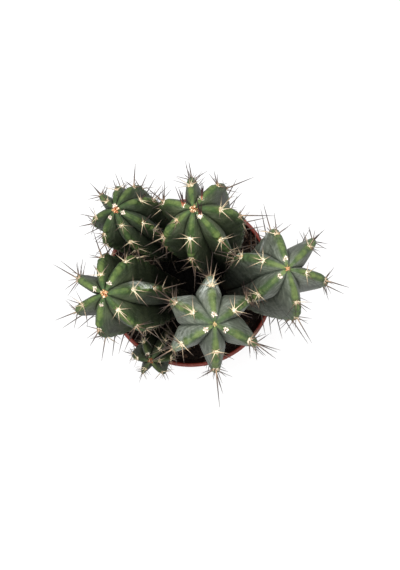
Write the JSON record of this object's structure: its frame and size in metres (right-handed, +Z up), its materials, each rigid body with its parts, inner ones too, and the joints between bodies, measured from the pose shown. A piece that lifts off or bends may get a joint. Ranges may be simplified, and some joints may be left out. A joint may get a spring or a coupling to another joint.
{
  "type": "potted columnar cactus",
  "caption": "Tall columnar cactus: ribbed, spiny stems standing close together in soil, in a round terracotta-coloured plastic pot.",
  "frame": {"origin": "centre of the pot's underside, on the surface that the pot stands on", "axes": "+Z up, the way the stems grow; +X to the right and +Y to the top of the picture, which looks straight down"},
  "size_m": [0.1952, 0.1631, 0.3555],
  "materials": {
    "pot": "satin terracotta-coloured moulded plastic",
    "soil": "dark damp peat with fibres",
    "grey_stem": "waxy blue-grey cactus skin with green rib crests and pale spines",
    "green_stem": "dark green cactus skin with lighter rib crests and pale spines"
  },
  "bodies": {
    "root": {"pot": "pot", "soil": "soil", "stem_front": "grey_stem", "stem_right": "grey_stem", "stem_back_middle": "green_stem", "stem_left": "green_stem", "stem_back_left": "green_stem", "stem_small": "green_stem"}
  },
  "joints": []
}
